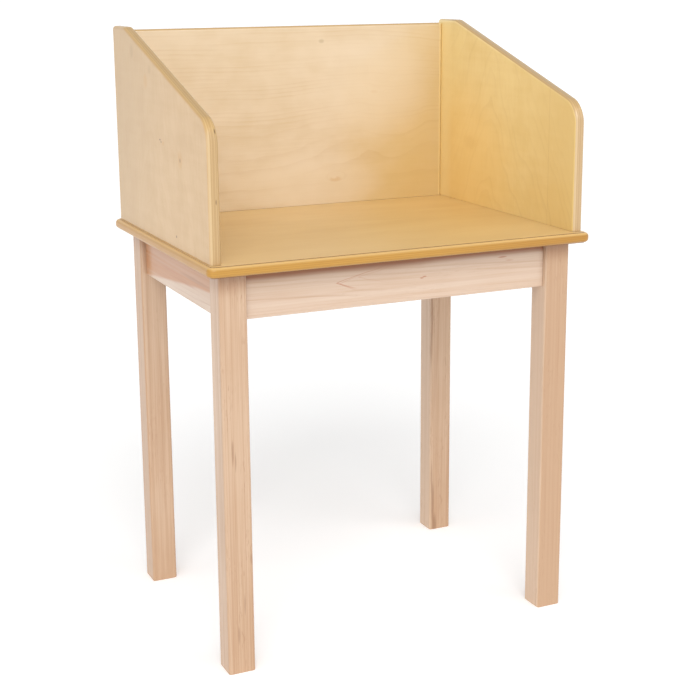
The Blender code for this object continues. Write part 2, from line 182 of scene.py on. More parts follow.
def side_panel_shape(low, high):
    """A board whose top slopes down to a rounded front corner."""
    slope_length = high.y - low.y - PANEL_FLAT_LENGTH
    slope_rise = high.z - low.z - PANEL_FRONT_HEIGHT
    slope_angle = math.atan2(slope_rise, slope_length)
    bm = block(low, high)
    saw(bm, low + Vector((0, 0, PANEL_FRONT_HEIGHT)), (0, -slope_rise, slope_length))
    corners = (
        (low.y, PANEL_FRONT_RADIUS, math.pi / 2 - slope_angle, 24),
        (low.y + slope_length, PANEL_SLOPE_RADIUS, slope_angle, 10),
        (high.y, PANEL_REAR_RADIUS, math.pi / 2, 10),
    )
    for place, radius, turn, segments in corners:
        round_edges(
            bm,
            lambda e: (runs_along(e, 0) and abs(middle(e).y - place) < 1e-5
                       and middle(e).z > low.z + 0.01),
            radius * math.tan(turn / 2),
            segments,
        )
    round_edges(bm, lambda e: borders(e, 0) and middle(e).z > low.z + 0.001,
                PANEL_EDGE_RADIUS, 10)
    return bm


def back_panel_shape(low, high):
    """A plain board, its ends pressed close against the side panels."""
    bm = block(low - SNUG, high + SNUG)
    round_edges(bm, lambda e: borders(e, 1) and middle(e).z > low.z + 0.001,
                PANEL_EDGE_RADIUS, 10)
    return bm


def leg_shape(low, high):
    bm = block(low, high)
    round_edges(bm, lambda e: runs_along(e, 2), LEG_ARRIS_RADIUS, 8)
    round_edges(bm, lambda e: borders(e, 2) and middle(e).z < low.z + 0.001,
                LEG_FOOT_CHAMFER, 3)
    return bm


def apron_shape(low, high):
    bm = block(low, high)
    axis = 0 if high.x - low.x > high.y - low.y else 1
    round_edges(bm, lambda e: runs_along(e, axis), APRON_ARRIS_RADIUS, 4)
    return bm


# Holes for the fasteners


def drill(start, direction, profile, sides=32):
    """A turned cutter. The profile holds (radius, distance from start) points."""
    bm = bmesh.new()
    points = [bm.verts.new((radius, 0, distance)) for radius, distance in profile]
    edges = [bm.edges.new(pair) for pair in zip(points, points[1:])]
    bmesh.ops.spin(bm, geom=points + edges, cent=(0, 0, 0), axis=(0, 0, 1),
                   angle=2 * math.pi, steps=sides, use_merge=True)
    bmesh.ops.remove_doubles(bm, verts=bm.verts, dist=1e-6)
    bmesh.ops.recalc_face_normals(bm, faces=bm.faces)
    mesh = bpy.data.meshes.new("drill")
    bm.to_mesh(mesh)
    bm.free()
    cutter = bpy.data.objects.new("drill", mesh)
    bpy.context.scene.collection.objects.link(cutter)
    cutter.rotation_mode = "QUATERNION"
    cutter.rotation_quaternion = Vector(direction).to_track_quat("Z", "Y")
    cutter.location = start
    return cutter


def pointed(length, radius, point):
    """The profile of a round hole for a pointed fastener that starts a little before it."""
    wide = radius + GAP
    return [(0, -0.002), (wide, -0.002), (wide, length - point), (0, length + GAP)]


def panel_screw_drill(node):
    low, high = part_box(node)
    centre = (low + high) / 2
    shank = SCREW_RADIUS + GAP
    head = SCREW_HEAD_RADIUS + GAP
    rim = SCREW_HEAD_RIM + GAP
    length = high.z - low.z
    profile = [(0, -0.003), (head, -0.003), (head, rim), (shank, rim + head - shank),
               (shank, length - SCREW_POINT), (0, length + GAP)]
    return drill((centre.x, centre.y, low.z), Z_AXIS, profile)


def top_screw_drill(node):
    low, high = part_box(node)
    centre = (low + high) / 2
    profile = pointed(high.z - low.z, SCREW_RADIUS, SCREW_POINT)
    return drill((centre.x, centre.y, low.z), Z_AXIS, profile)


def block_screw_drill(node):
    """The screw runs out from the block, away from the carrel's middle."""
    low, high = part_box(node)
    centre = (low + high) / 2
    size = high - low
    axis = 0 if size.x > size.y else 1
    direction = Vector((0, 0, 0))
    direction[axis] = math.copysign(1, centre[axis])
    start = centre - direction * size[axis] / 2
    return drill(start, direction, pointed(size[axis], SCREW_RADIUS, SCREW_POINT))


def bolt_drill(node):
    """The bolt runs out along the diagonal, into the leg's inner corner."""
    low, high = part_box(node)
    centre = (low + high) / 2
    direction = Vector((math.copysign(1, centre.x), math.copysign(1, centre.y), 0)).normalized()
    length = (high.x - low.x - BOLT_RADIUS * math.sqrt(2)) * math.sqrt(2) + BOLT_RADIUS
    start = centre - direction * length / 2
    return drill(start, direction, pointed(length, BOLT_RADIUS, BOLT_POINT))


def dowel_drill(node):
    low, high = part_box(node)
    radius = (high.z - low.z) / 2 + GAP
    start = Vector((low.x - GAP, (low.y + high.y) / 2, (low.z + high.z) / 2))
    length = high.x - low.x + 2 * GAP
    return drill(start, X_AXIS, [(0, 0), (radius, 0), (radius, length), (0, length)])


def finished(bm, name, drills):
    """The board as an object, with its holes cut and its round stretches shaded smooth."""
    bmesh.ops.recalc_face_normals(bm, faces=bm.faces)
    mesh = bpy.data.meshes.new(name)
    bm.to_mesh(mesh)
    bm.free()
    piece = bpy.data.objects.new(name, mesh)
    bpy.context.scene.collection.objects.link(piece)
    for cutter in drills:
        boolean = piece.modifiers.new("hole", "BOOLEAN")
        boolean.operation = "DIFFERENCE"
        boolean.solver = "EXACT"
        boolean.object = cutter
    depsgraph = bpy.context.evaluated_depsgraph_get()
    drilled = bpy.data.meshes.new_from_object(piece.evaluated_get(depsgraph))
    piece.modifiers.clear()
    piece.data = drilled
    for cutter in drills:
        bpy.data.objects.remove(cutter)
    drilled.shade_smooth()
    drilled.set_sharp_from_angle(angle=math.radians(35))
    normals = piece.modifiers.new("face_weighted_shading", "WEIGHTED_NORMAL")
    normals.keep_sharp = True
    return piece


def add_board(node, shape, drills=()):
    """A finely shaped board in place of a CAD node, riding on the carrel."""
    low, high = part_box(node)
    piece = finished(shape(low, high), node + "_board", list(drills))
    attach(piece, "root")
    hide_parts(node)
    return piece


# Materials


def srgb(red, green, blue):
    """A display colour, 0 to 255, as the linear colour that nodes use."""
    def linear(value):
        value /= 255
        return value / 12.92 if value <= 0.04045 else ((value + 0.055) / 1.055) ** 2.4
    return (linear(red), linear(green), linear(blue), 1)


class Field:
    """A number, vector or colour that a material works out at each point of a surface."""

    def __init__(self, graph, socket):
        self.graph = graph
        self.socket = socket

    def __add__(self, other):
        return self.graph.math("ADD", self, other)

    def __sub__(self, other):
        return self.graph.math("SUBTRACT", self, other)

    def __rsub__(self, other):
        return self.graph.math("SUBTRACT", other, self)

    def __mul__(self, other):
        return self.graph.math("MULTIPLY", self, other)

    def __truediv__(self, other):
        return self.graph.math("DIVIDE", self, other)

    __radd__ = __add__
    __rmul__ = __mul__


class Graph:
    """A material whose node tree is built from short calls."""

    def __init__(self, name):
        self.material = bpy.data.materials.new(name)
        self.material.use_nodes = True
        self.tree = self.material.node_tree
        self.shader = self.tree.nodes["Principled BSDF"]

    def node(self, kind, **settings):
        made = self.tree.nodes.new("ShaderNode" + kind)
        for key, value in settings.items():
            setattr(made, key, value)
        return made

    def plug(self, socket, value):
        if isinstance(value, Field):
            self.tree.links.new(value.socket, socket)
        else:
            socket.default_value = value

    def math(self, operation, *values):
        made = self.node("Math", operation=operation)
        for socket, value in zip(made.inputs, values):
            self.plug(socket, value)
        return Field(self, made.outputs[0])

    def step(self, value, start, end):
        """0 before start, 1 after end, and smooth between them."""
        made = self.node("MapRange", interpolation_type="SMOOTHSTEP")
        for name, amount in (("Value", value), ("From Min", start), ("From Max", end)):
            self.plug(made.inputs[name], amount)
        return Field(self, made.outputs["Result"])

    def point(self, x, y, z):
        made = self.node("CombineXYZ")
        for socket, value in zip(made.inputs, (x, y, z)):
            self.plug(socket, value)
        return Field(self, made.outputs[0])

    def noise(self, x, y, z, detail=2.0, roughness=0.5):
        """Smooth noise about 0.5, one bump for each unit of its coordinates."""
        made = self.node("TexNoise", noise_dimensions="3D")
        self.plug(made.inputs["Vector"], self.point(x, y, z))
        made.inputs["Scale"].default_value = 1
        made.inputs["Detail"].default_value = detail
        made.inputs["Roughness"].default_value = roughness
        return Field(self, made.outputs["Fac"])

    def blend(self, share, first, second, mode="MIX"):
        made = self.node("Mix", data_type="RGBA", blend_type=mode)
        for index, value in ((0, share), (6, first), (7, second)):
            self.plug(made.inputs[index], value)
        return Field(self, made.outputs[2])

    def board_axes(self, node, along, across):
        """Distances from a board's centre along its grain, across it and through it."""
        low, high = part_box(node)
        place = self.node("TexCoord").outputs["Object"]
        shift = self.node("VectorMath", operation="SUBTRACT")
        self.tree.links.new(place, shift.inputs[0])
        shift.inputs[1].default_value = (low + high) / 2
        distances = []
        for axis in (along, across, along.cross(across)):
            dot = self.node("VectorMath", operation="DOT_PRODUCT")
            self.tree.links.new(shift.outputs[0], dot.inputs[0])
            dot.inputs[1].default_value = axis
            distances.append(Field(self, dot.outputs["Value"]))
        return distances

    def axes(self):
        """The point's own x, y and z."""
        parts = self.node("SeparateXYZ")
        self.tree.links.new(self.node("TexCoord").outputs["Object"], parts.inputs[0])
        return [Field(self, socket) for socket in parts.outputs]

    def surface(self, colour, roughness, height, relief):
        """Join the colour, roughness and small relief, in metres, to the shader."""
        bump = self.node("Bump")
        bump.inputs["Strength"].default_value = 1
        bump.inputs["Distance"].default_value = relief
        self.plug(bump.inputs["Height"], height)
        self.tree.links.new(bump.outputs[0], self.shader.inputs["Normal"])
        self.plug(self.shader.inputs["Base Color"], colour)
        self.plug(self.shader.inputs["Roughness"], roughness)


def lacquer(graph, weight, roughness, specular=0.3):
    """A clear coat, the same all over."""
    graph.shader.inputs["Coat Weight"].default_value = weight
    graph.shader.inputs["Coat Roughness"].default_value = roughness
    graph.shader.inputs["Coat IOR"].default_value = 1.5
    graph.shader.inputs["Specular IOR Level"].default_value = specular


def thin_lines(graph, level, width):
    """Thin lines where the level passes whole numbers, soft on one side as growth rings are."""
    phase = graph.math("FRACT", level)
    return graph.step(phase, 1 - width, 0.96) * (1 - graph.step(phase, 0.96, 1))


def ring_strength(graph, level, x, seed):
    """How dark each ring is: every ring has its own strength, which drifts along it."""
    ring = graph.math("FLOOR", level)
    return graph.step(graph.noise(ring * 1.37 + seed, x * 4, seed, detail=1), 0.34, 0.72)


def hill(graph, point, place, size):
    """1 at a place, falling smoothly to 0 at an ellipse or ellipsoid round it."""
    total = 0
    for value, centre, reach in zip(point, place, size):
        share = (value - centre) / reach
        total = share * share + total
    return 1 - graph.step(total, 0, 1)


def spots(graph, point, colour, marks):
    """Paint marks over a colour. Each is (place, size, share, colour)."""
    for place, size, share, tint in marks:
        colour = graph.blend(hill(graph, point, place, size) * share, colour, tint)
    return colour


OUTER_BIRCH = (srgb(210, 177, 132), srgb(201, 166, 120))
# Painted bounce light: the side panels' inner faces, lighter and more golden than the same plywood
# outside
INNER_BIRCH_PAINTED_BOUNCE = (srgb(241, 216, 150), srgb(234, 206, 138))
BACK_BIRCH = (srgb(223, 202, 171), srgb(214, 190, 153))
# Painted bounce light from the right panel, towards the back panel's right end
BACK_PAINTED_BOUNCE_GOLD = srgb(214, 182, 112)
BACK_PALE = srgb(229, 211, 184)
DULL_BIRCH = srgb(186, 155, 112)
DULL_GOLD = srgb(222, 190, 122)
# Painted bounce light on the right panel's inner face, and painted light on the back panel's rounded
# right end
ORANGE_PAINTED_BOUNCE = srgb(252, 213, 132)
GOLD_PAINTED_LIGHT = srgb(250, 226, 164)
BIRCH_LINE = srgb(190, 150, 96)
PLY_PALE = srgb(214, 182, 128)
PLY_DARK = srgb(196, 158, 106)
GLUE_LINE = srgb(122, 80, 46)
UPRIGHT_EDGE_SHADE = (0.87, 0.88, 0.96, 1)
# Painted highlight along the side panels' rounded upright front arris
ARRIS_PAINTED_HIGHLIGHT = srgb(222, 196, 154)
# Painted shade beneath the tabletop, on the tops of the legs and aprons
PAINTED_SHADE_BROWN = srgb(140, 74, 16)
KNOT_BROWN = srgb(88, 52, 22)
KNOT_GREY = srgb(152, 126, 80)
KNOT_GOLD = srgb(198, 146, 72)
VOID_DARK = srgb(52, 36, 24)
LAMINATE_TAN = srgb(231, 195, 131)
LAMINATE_DARK = srgb(222, 183, 117)
# Painted sheen towards the tabletop's front
LAMINATE_PAINTED_SHEEN = srgb(240, 206, 146)
# The tan sheet's dark core, and the painted shade of the backing sheet's edge and underside
LAMINATE_CORE_AND_PAINTED_SHADE = srgb(132, 86, 48)
BACKER_PAINTED_SHADE_BROWN = srgb(134, 98, 68)
# The first ply under the tan sheet, pale, partly a painted highlight on the rounding
TOP_EDGE_FIRST_PLY_AND_HIGHLIGHT = srgb(230, 190, 122)
TOP_EDGE_PALE = srgb(196, 148, 62)
TOP_EDGE_DARK = srgb(174, 122, 40)
LEG_MAPLE = (srgb(206, 177, 150), srgb(190, 155, 124))
APRON_MAPLE = (srgb(213, 190, 170), srgb(203, 174, 149))
HEARTWOOD = srgb(185, 123, 72)
BLOCK_MAPLE = (srgb(206, 170, 138), srgb(184, 134, 100))
MAPLE_LINE = srgb(168, 122, 88)
MAPLE_FLECK = srgb(150, 104, 70)
MAPLE_BROWN = srgb(122, 78, 48)
MAPLE_RED = srgb(176, 108, 80)
BEECH_PALE = srgb(208, 168, 124)
BEECH_DARK = srgb(190, 146, 104)
ZINC_PALE = srgb(206, 207, 205)
ZINC_DARK = srgb(178, 180, 184)
ZINC_TINGE = srgb(206, 196, 164)
FLOOR_WHITE = srgb(253, 253, 253)
FLOOR_GREY = srgb(250, 250, 250)


def back_figure(graph, x, y):
    """Fine straight lines above, long lines that rise to the right below, and two eyes."""
    middle_band = 1 - graph.step(graph.math("ABSOLUTE", y), 0.03, 0.12)
    rise = graph.step(x, -0.09, 0.17) * middle_band
    droop = graph.step(x, 0.10, 0.32) * graph.step(y, 0.02, 0.07)
    fine = graph.math("MAXIMUM", y + 0.01, 0)
    level = y * 60 + fine * 80 - rise * 2.6 + droop * 2.0
    level += hill(graph, (x, y), (0.1887, 0.0011), (0.070, 0.090)) * 1.3
    level += hill(graph, (x, y), (0.1505, 0.0368), (0.024, 0.012)) * 1.0
    level += hill(graph, (x, y), (0.0797, -0.1059), (0.028, 0.014)) * 1.2
    swell = graph.noise(x * 3.1 + 7, y * 8, 0, detail=1) * 2.6
    return level + swell + graph.noise(x * 12, y * 34, 0, detail=2) * 0.8


def arch_figure(graph, x, y):
    """Faint arches, one inside another, opening downwards."""
    v = y - 0.035
    flank = graph.math("SQRT", v * v + 0.0004)
    swell = graph.noise(x * 7, y * 11, 4.7, detail=2) * 5
    return x * 34 + flank * 62 + swell


def plies(graph, through, half_thickness, ply):
    """For plywood: how much of a point is below the face veneer, how far it is cross-grain,
    and how near it is to a glue line."""
    depth = (half_thickness - graph.math("ABSOLUTE", through)) / ply
    below = graph.step(depth, 0.5, 0.56)
    phase = graph.math("FRACT", depth + 0.5)
    cross = graph.math("PINGPONG", graph.math("FLOOR", depth + 0.5), 1)
    glue = graph.step(graph.math("ABSOLUTE", phase - 0.5), 0.42, 0.5)
    return below, cross, glue


def birch_screen(node, along, across, front, rear, figure, contrast, marks=(), seam=None,
                 stain=None, stain_tone=None, coat=1.0, specular=0.3, curl=0.0):
    """Lacquered birch plywood, with a front tone pair on its positive side and another behind.
    A seam joins two veneer leaves, a tint colours the front, as painted bounce light on the back
    panel and as duller stretches on the side panels, and curl is a ripple across it."""
    graph = Graph(node + "_birch")
    x, y, z = graph.board_axes(node, along, across)
    low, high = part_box(node)
    half = min(high - low) / 2
    seed = len(node) * 0.37

    fibre = graph.noise(x * 16 + seed, y * 420, z * 420, detail=2, roughness=0.6)
    patches = graph.noise(x * 4 + seed, y * 12, z * 4, detail=2)
    blots = graph.noise(x * 26 + seed, y * 34, z * 20, detail=2)
    ripple = (graph.noise(x * 75, y * 9, 3.3, detail=2) - 0.5) * curl
    tone = graph.step(fibre * 0.22 + patches * 0.50 + blots * 0.42 + ripple, 0.40, 0.80)
    facing = graph.step(z, -0.0005, 0.0005)
    colour = graph.blend(tone, graph.blend(facing, rear[0], front[0]),
                         graph.blend(facing, rear[1], front[1]))
    # The tint over the front: painted bounce light on the back panel, duller stretches on the side
    # panels
    if stain:
        colour = graph.blend(stain(graph, x, y) * facing, colour, stain_tone)

    level = figure(graph, x, y)
    if seam:
        beyond = graph.step(y, seam - 0.0001, seam + 0.0001)
        level += beyond * 0.43
        joint = 1 - graph.step(graph.math("ABSOLUTE", y - seam), 0.0003, 0.0009)
        colour = graph.blend(joint * 0.26, colour, BIRCH_LINE)
    share = ring_strength(graph, level, x, seed) * contrast
    colour = graph.blend(thin_lines(graph, level, 0.55) * share, colour, BIRCH_LINE)
    pores = graph.noise(x * 70, y * 1500, z * 1500, detail=1)
    colour = graph.blend(graph.step(pores, 0.62, 0.72) * 0.06, colour, BIRCH_LINE)

    below, cross, glue = plies(graph, z, half, 2 * half / SCREEN_PLIES)
    speckle = graph.noise(x * 900, y * 900, z * 900, detail=2)
    drift = graph.noise(x * 9, y * 9, z * 500, detail=1)
    edge = graph.blend(cross * 0.55 + speckle * 0.2 + drift * 0.25, PLY_PALE, PLY_DARK)
    upright = graph.step(-1 * y, *UPRIGHT_EDGE)
    edge = graph.blend(glue * (upright * 0.22 + 0.20), edge, GLUE_LINE)
    edge = graph.blend(upright, edge, UPRIGHT_EDGE_SHADE, "MULTIPLY")
    # Painted highlight on the rounded arris of the upright front edge, on the board's positive side
    edge = graph.blend(graph.step(z, 0.0035, 0.0065) * upright * 0.6, edge, ARRIS_PAINTED_HIGHLIGHT)
    colour = graph.blend(below, colour, edge)
    colour = spots(graph, (x, y, z), colour, marks)

    graph.surface(colour, 0.34 + fibre * 0.14, fibre * 0.7 + blots * 0.3, 0.0001)
    lacquer(graph, coat, 0.14, specular)
    return graph.material


def birch_top(node):
    """A tan sheet on plywood, with a brown backing sheet below whose colour is painted shade under
    the tabletop. The sheets' edges are dark, the lower one as painted shade, and the plies between
    them show golden, the first partly as a painted highlight. The tan sheet has a painted sheen
    towards the front."""
    graph = Graph(node + "_laminate")
    x, y, z = graph.board_axes(node, X_AXIS, Y_AXIS)
    low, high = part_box(node)
    half = (high.z - low.z) / 2
    half_width = (high.x - low.x) / 2
    fibre = graph.noise(x * 14, y * 240, 0, detail=3, roughness=0.6)
    cloud = graph.noise(x * 5 + 3, y * 18, 0, detail=2)
    tone = graph.step(fibre * 0.42 + cloud * 0.58, 0.34, 0.68)
    sheet = graph.blend(tone, LAMINATE_TAN, LAMINATE_DARK)
    # Painted sheen: the sheet lighter towards the front edge
    painted_sheen = graph.step(-1 * y + cloud * 0.04, 0.0, 0.22)
    sheet = graph.blend(painted_sheen * 0.5, sheet, LAMINATE_PAINTED_SHEEN)
    flecks = graph.noise(x * 90, y * 900, 0, detail=1)
    sheet = graph.blend(graph.step(flecks, 0.62, 0.72) * 0.10, sheet, TOP_EDGE_PALE)

    plywood = z + SHEET_THICKNESS / 2
    cross, glue = plies(graph, plywood, half - SHEET_THICKNESS, TOP_PLY)[1:]
    streaks = graph.noise(x * 24, y * 24, z * 1500, detail=2)
    # The pale first ply, widened as a painted highlight along the top of the rounding
    first = graph.step(half - SHEET_THICKNESS - z, 0.0008, 0.0034)
    right = graph.step(x, 0.0, half_width) * 0.45
    grain = graph.blend(cross * 0.35 + streaks * 0.6 + right, TOP_EDGE_PALE, TOP_EDGE_DARK)
    edge = graph.blend(glue * 0.12, graph.blend(first, TOP_EDGE_FIRST_PLY_AND_HIGHLIGHT, grain), GLUE_LINE)
    # Painted shade: the edge darker on the tabletop's left end
    left_end_painted_shade = graph.step(-1 * x, half_width - 0.007, half_width)
    edge = graph.blend(left_end_painted_shade * 0.40, edge, TOP_EDGE_DARK)

    # Dark sheet edges: the tan sheet's core above, and the backing sheet's edge below as painted
    # shade
    away = graph.math("ABSOLUTE", z)
    within = 1 - graph.step(away, half - SHEET_THICKNESS, half - SHEET_THICKNESS + 0.00005)
    colour = graph.blend(within, LAMINATE_CORE_AND_PAINTED_SHADE, edge)
    colour = graph.blend(graph.step(z, half - 0.00008, half - 0.00004), colour, sheet)
    # Painted shade: the brown backing sheet darkens the underside
    backer_painted_shade = graph.step(-1 * z, half - 0.00008, half - 0.00004)
    colour = graph.blend(backer_painted_shade, colour, graph.blend(cloud, BACKER_PAINTED_SHADE_BROWN, LAMINATE_CORE_AND_PAINTED_SHADE))

    peel = graph.noise(x * 240, y * 240, z * 240, detail=2)
    graph.surface(colour, 0.34 + cloud * 0.12, peel * 0.5 + fibre * 0.5, 0.00005)
    lacquer(graph, 0.6, 0.30)
    return graph.material


def pith_rings(pith, tilt, density, sway):
    """Rings round a pith line beside the board, tilted from its grain."""
    def figure(graph, x, y, z):
        drift = (graph.noise(x * 2.4, y * 10, z * 10, detail=2) - 0.5) * sway
        dy = y - pith[0] + x * tilt[0] + drift
        dz = z - pith[1] + x * tilt[1]
        return graph.math("SQRT", dy * dy + dz * dz) * density
    return figure


def pointed_ring(tip, slope, skew, reach, width):
    """A red-brown growth ring cut to a long point, its two arms running to the right. The
    lower arm is steeper and soon fades."""
    def ring(graph, x, y, z):
        drift = (graph.noise(x * 22, y * 30, 0, detail=2) - 0.5) * 0.006
        v = y - tip[1] + drift
        arms = graph.math("SQRT", v * v + 0.0000004) * slope + v * skew
        u = x - tip[0]
        away = graph.math("ABSOLUTE", u - arms) / slope
        near = (1 - graph.step(away, 0, width)) * (1 - graph.step(-1 * v, 0.006, 0.015))
        return near * graph.step(u, -0.004, 0.003) * (1 - graph.step(u, reach * 0.3, reach))
    return ring


def maple(node, along, across, tones, figure, marks=(), rings=0.34, stripes=0.12, flecks=0.25,
          shade=0.0, coat=0.6, points=(), painted_shade_depth=0.02, painted_shade_share=0.0,
          painted_front_shade=0.0, painted_left_shade=0.0, stain=None, stain_tone=None):
    """Solid maple: rings, fine fibres in stripes, short brown flecks and marks of its own. Its
    top can get painted shade beneath the tabletop, its lower end painted shade, and its front
    and left faces painted shade, or painted light where their setting is below 0."""
    graph = Graph(node + "_maple")
    low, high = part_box(node)
    half_height = (high.z - low.z) / 2
    x, y, z = graph.board_axes(node, along, across)
    seed = len(node) * 0.61
    xs = x + seed
    fibre = graph.noise(xs * 10, y * 520, z * 520, detail=2, roughness=0.6)
    bands = graph.noise(xs * 1.6, y * 150, z * 150, detail=2)
    patches = graph.noise(xs * 6, y * 16, z * 16, detail=2)
    # Painted shade on the front and left faces, painted light where their setting is below 0, and
    # painted shade towards the lower end
    front = graph.step(-1 * z, *LEG_FACE) * painted_front_shade
    left = graph.step(-1 * y, *LEG_FACE) * painted_left_shade
    depth = fibre * 0.30 + bands * 0.45 + patches * 0.40 - x * shade
    tone = graph.step(depth + front + left, 0.38, 0.80)
    colour = graph.blend(tone, *tones)

    if stain:
        heart = stain(graph, x, y + (patches - 0.5) * 0.010) * (bands * 0.8 + 0.5)
        colour = graph.blend(heart, colour, stain_tone)

    level = figure(graph, x, y, z)
    strength = graph.step(graph.noise(xs * 4, y * 30, z * 30, detail=1), 0.32, 0.66)
    strength *= ring_strength(graph, level, x, seed)
    colour = graph.blend(thin_lines(graph, level, 0.6) * strength * rings, colour, MAPLE_LINE)
    comb = graph.noise(xs * 1.1, y * 330, z * 330, detail=1)
    colour = graph.blend(graph.step(comb, 0.50, 0.66) * stripes, colour, MAPLE_LINE)
    dashes = graph.noise(xs * 70, y * 900, z * 900, detail=1)
    crowd = graph.step(graph.noise(xs * 9, y * 40, z * 40, detail=1), 0.45, 0.72)
    colour = graph.blend(graph.step(dashes, 0.60, 0.70) * crowd * flecks, colour, MAPLE_FLECK)
    for ring, share in points:
        colour = graph.blend(ring(graph, x, y, z) * share, colour, MAPLE_RED)
    ragged = (graph.noise(xs * 45, y * 420, z * 420, detail=2) - 0.5)
    point = (x + ragged * 0.012, y + ragged * 0.0022, z)
    colour = spots(graph, point, colour, marks)
    # Painted shade: darker towards the top end, where the tabletop above shades the piece
    up = x if along == Z_AXIS else y
    painted_shade = graph.step(up + (patches - 0.5) * 0.006, half_height - painted_shade_depth,
                      half_height - 0.007)
    colour = graph.blend(painted_shade * painted_shade_share, colour, PAINTED_SHADE_BROWN)

    graph.surface(colour, 0.38 + fibre * 0.14, fibre * 0.7 + comb * 0.3, 0.00012)
    lacquer(graph, coat, 0.20, 0.2)
    return graph.material


def beech_dowel():
    """Turned beech with short darker flecks."""
    graph = Graph("turned_beech")
    x, y, z = graph.board_axes("back_panel", X_AXIS, Z_AXIS)
    fibre = graph.noise(x * 30, y * 700, z * 700, detail=3)
    flecks = graph.noise(x * 220, y * 1600, z * 1600, detail=1)
    colour = graph.blend(graph.step(fibre, 0.35, 0.65), BEECH_PALE, BEECH_DARK)
    colour = graph.blend(graph.step(flecks, 0.6, 0.7) * 0.5, colour, MAPLE_FLECK)
    graph.surface(colour, 0.6 + fibre * 0.15, fibre, 0.0001)
    return graph.material


def zinc_steel():
    """Bright zinc plate: cloudy grey with fine scratches and a faint warm tinge."""
    graph = Graph("zinc_plate")
    x, y, z = graph.axes()
    cloud = graph.noise(x * 260, y * 260, z * 260, detail=3)
    scratch = graph.noise(x * 2200, y * 2200, z * 500, detail=2)
    colour = graph.blend(cloud, ZINC_PALE, ZINC_DARK)
    colour = graph.blend(graph.step(cloud, 0.55, 0.75) * 0.3, colour, ZINC_TINGE)
    graph.surface(colour, 0.24 + cloud * 0.16 + scratch * 0.06, scratch, 0.00002)
    graph.shader.inputs["Metallic"].default_value = 1
    return graph.material


def paint(piece, material):
    """Give every face of a piece one material."""
    piece.data.materials.clear()
    piece.data.materials.append(material)


def paint_node(node, material):
    """Give a carried-over CAD node a material, through its object's slots."""
    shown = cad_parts[node]
    for slot in shown.material_slots:
        slot.link = "OBJECT"
        slot.material = material


# Stains, painted light, marks and figures of the carrel's own boards


def dull_corner(graph, x, y):
    """The left panel is duller towards its rear and its top."""
    return graph.step(x * 0.4 + y, -0.12, 0.24) * 0.62


def dull_front(graph, x, y):
    """The right panel is duller towards its front."""
    return (1 - graph.step(y, -0.22, -0.02)) * 0.7


def painted_bounce_golden_end(graph, x, y):
    """Painted bounce light: the back panel turns golden towards its right end, sooner and more so
    low down.
    """
    return graph.step(x - y * 0.35, 0.07, 0.27) * (1 - graph.step(y, -0.15, 0.25) * 0.5) * 0.75


def heart_wedge(graph, x, y):
    """Darker heartwood above a line that falls towards the rear."""
    edge = x * -0.10 - 0.0172
    return graph.step(y - edge, -0.0030, 0.0030) * 0.84


def on_face(face, depth, *rows):
    """Marks on one face. Each row is (place, size, share, colour), along and across the board."""
    return tuple((place + (face,), size + (depth,), share, colour)
                 for place, size, share, colour in rows)


# Rows outside on_face also say where a mark lies and how far it reaches through the board
LEFT_PANEL_MARKS = on_face(
    SCREEN_FACE, MARK_DEPTH,
    ((0.1177, 0.1161), (0.013, 0.011), 0.24, KNOT_GREY),
    ((0.0950, 0.0300), (0.008, 0.009), 0.18, KNOT_GREY),
    ((0.0773, 0.0511), (0.014, 0.012), 0.30, KNOT_GOLD),
    ((-0.0030, -0.0105), (0.0016, 0.0042), 0.70, KNOT_BROWN),
    ((-0.0058, -0.0155), (0.0016, 0.0036), 0.60, KNOT_BROWN),
    ((-0.0070, -0.0250), (0.0040, 0.0060), 0.35, KNOT_GOLD),
    ((-0.0233, -0.0998), (0.0042, 0.0036), 0.65, KNOT_BROWN),
    ((-0.0233, -0.0998), (0.016, 0.012), 0.32, KNOT_GOLD),
    ((-0.1355, -0.0728), (0.0026, 0.0036), 0.60, KNOT_BROWN),
) + (
    ((0.0824, 0.2180, 0.0066), (0.0060, 0.0050, 0.0060), 0.80, KNOT_BROWN),
    ((-0.0810, 0.2180, 0.0066), (0.0060, 0.0050, 0.0060), 0.80, KNOT_BROWN),
    ((0.0270, -0.2104, -0.0045), (0.0050, 0.0060, 0.0013), 0.72, VOID_DARK),
    ((-0.0665, -0.2150, -0.0021), (0.0050, 0.0060, 0.0012), 0.55, VOID_DARK),
)
# Painted bounce light on the right panel's inner face: an orange glow low towards the rear, a faint
# knot, and a golden strip along the rear beside the back panel
RIGHT_PANEL_MARKS = on_face(
    SCREEN_FACE, MARK_DEPTH,
    ((-0.0900, 0.1300), (0.1700, 0.2000), 0.46, ORANGE_PAINTED_BOUNCE),
    ((-0.0500, 0.1000), (0.0140, 0.0260), 0.12, KNOT_GOLD),
    ((-0.0200, 0.2000), (1.0, 0.0400), 0.60, GOLD_PAINTED_LIGHT),
)
BACK_PANEL_MARKS = on_face(
    SCREEN_FACE, MARK_DEPTH,
    ((0.0534, 0.1234), (0.0065, 0.0045), 0.30, KNOT_GREY),
    ((0.1505, 0.0368), (0.0085, 0.0040), 0.24, KNOT_GOLD),
    ((0.1500, 0.0500), (0.1300, 0.1100), 0.55, BACK_PALE),
    ((0.0400, -0.1150), (0.1400, 0.0600), 0.50, BACK_PALE),
    ((0.0770, -0.1080), (0.0140, 0.0055), 0.30, KNOT_GOLD),
    ((0.0745, -0.1050), (0.0060, 0.0030), 0.50, BACK_PALE),
) + (
    # Painted light on the back panel's rounded right end, against the shade in the corner
    ((0.2805, 0.0, 0.0060), (0.0065, 1.0, 0.0055), 0.80, GOLD_PAINTED_LIGHT),
)
